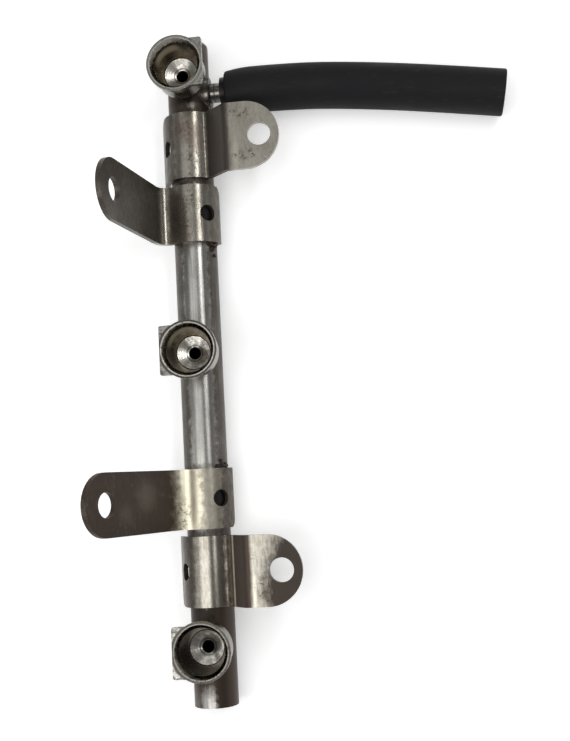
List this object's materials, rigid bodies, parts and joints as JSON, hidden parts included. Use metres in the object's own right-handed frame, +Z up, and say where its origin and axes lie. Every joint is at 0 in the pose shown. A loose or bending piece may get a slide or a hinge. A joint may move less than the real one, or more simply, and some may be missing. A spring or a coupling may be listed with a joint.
{
  "type": "fuel rail",
  "caption": "Steel fuel rail: a round tube with upright injector cups, short and long folded mounting brackets, and a rubber fuel hose on a side inlet.",
  "frame": {"origin": "middle of the floor of the middle injector cup's pocket", "axes": "+Z up along the injector cups, out of their mouths; +Y along the tube towards the end with the hose; +X the way the hose leaves"},
  "size_m": [0.1225, 0.2014, 0.054],
  "materials": {
    "tube_steel": "worn, brown at the joints",
    "cup_steel": "turned, worn",
    "bracket_steel": "worn and mottled",
    "fitting_steel": "turned, worn",
    "brazing_metal": "dull",
    "hose_rubber": "soft matte"
  },
  "bodies": {
    "root": {"rail_tube": "tube_steel", "rail_end_cap": "tube_steel", "rail_end_plug": "tube_steel", "injector_cup_1": "cup_steel", "injector_cup_2": "cup_steel", "injector_cup_3": "cup_steel", "cup_braze_1": "brazing_metal", "cup_braze_2": "brazing_metal", "cup_braze_3": "brazing_metal", "short_bracket_1": "bracket_steel", "short_bracket_2": "bracket_steel", "short_bracket_braze_1": "brazing_metal", "short_bracket_braze_2": "brazing_metal", "long_bracket_1": "bracket_steel", "long_bracket_2": "bracket_steel", "long_bracket_braze_1": "brazing_metal", "long_bracket_braze_2": "brazing_metal", "inlet_collar": "fitting_steel", "inlet_braze": "brazing_metal", "inlet_pipe": "fitting_steel", "fuel_hose": "hose_rubber"}
  },
  "joints": []
}
